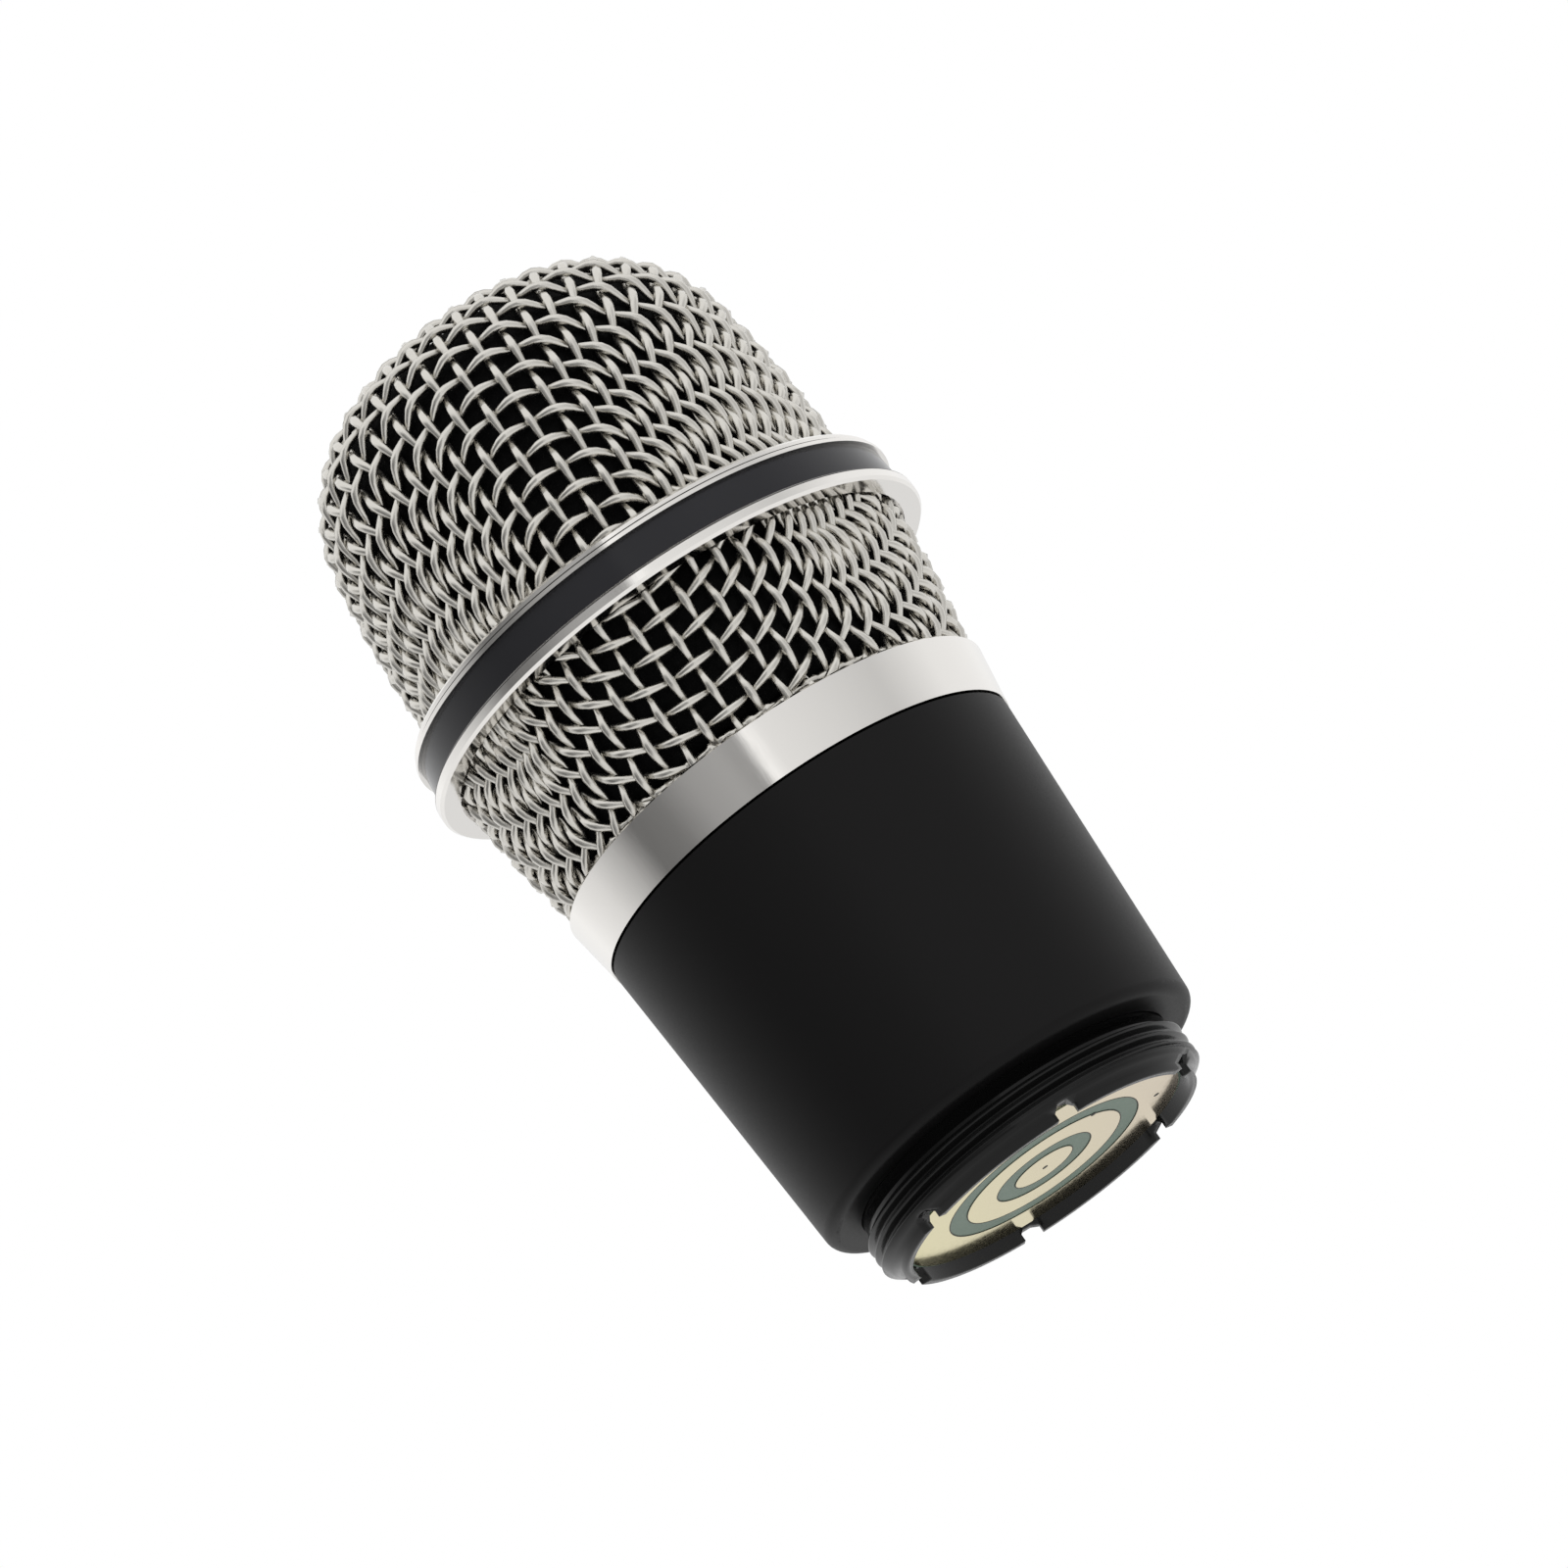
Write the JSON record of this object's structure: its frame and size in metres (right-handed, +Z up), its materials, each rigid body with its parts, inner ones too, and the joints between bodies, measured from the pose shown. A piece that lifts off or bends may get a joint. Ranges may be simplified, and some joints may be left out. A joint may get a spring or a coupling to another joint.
{
  "type": "wireless microphone capsule",
  "caption": "Screw-on capsule head for a handheld radio microphone: woven wire grille with ring band, bright collar, tapered black body and threaded neck with a flat contact board.",
  "frame": {"origin": "centre of the bottom of the bounding box: on the axis, in the plane of the notched rim's end", "axes": "+Z up along the axis, from the notched rim to the grille's crown; +Y away from the side that the picture shows"},
  "size_m": [0.048, 0.048, 0.0897],
  "materials": {
    "bright_wire": "bright nickel on woven steel wire",
    "bright_metal": "polished nickel, faint turning marks",
    "black_band": "smooth gloss black",
    "black_body": "fine matte black coat",
    "black_neck": "semi-gloss black coat on metal",
    "board": "grey-green solder mask on glass fibre board",
    "contact_gold": "pale gold plating",
    "foam": "open black foam",
    "holder_plastic": "moulded black",
    "rubber": "soft black",
    "capsule_plastic": "moulded dark grey",
    "soft_iron": "zinc plated, turned",
    "magnet_metal": "nickel plated magnet",
    "copper": "enamelled copper winding",
    "clear_film": "thin polyester film",
    "felt": "pressed felt",
    "steel": "plated steel",
    "red_lead": "red insulation",
    "black_lead": "black insulation"
  },
  "bodies": {
    "root": {"upper_grille": "bright_wire", "lower_grille": "bright_wire", "grille_ring": "bright_metal", "ring_band": "black_band", "grille_collar": "bright_metal", "upper_foam": "foam", "lower_foam": "foam", "body_shell": "black_body", "threaded_neck": "black_neck", "contact_board": "board", "centre_contact": "contact_gold", "middle_contact": "contact_gold", "outer_contact": "contact_gold", "capsule_holder": "holder_plastic", "holder_screws": "steel", "rubber_ring": "rubber", "rear_cup": "capsule_plastic", "cartridge_housing": "capsule_plastic", "yoke_cup": "soft_iron", "magnet": "magnet_metal", "pole_piece": "soft_iron", "voice_coil": "copper", "damping_felt": "felt", "diaphragm": "clear_film", "front_cap": "capsule_plastic", "terminal_board": "board", "hot_lead": "red_lead", "return_lead": "black_lead"}
  },
  "joints": []
}
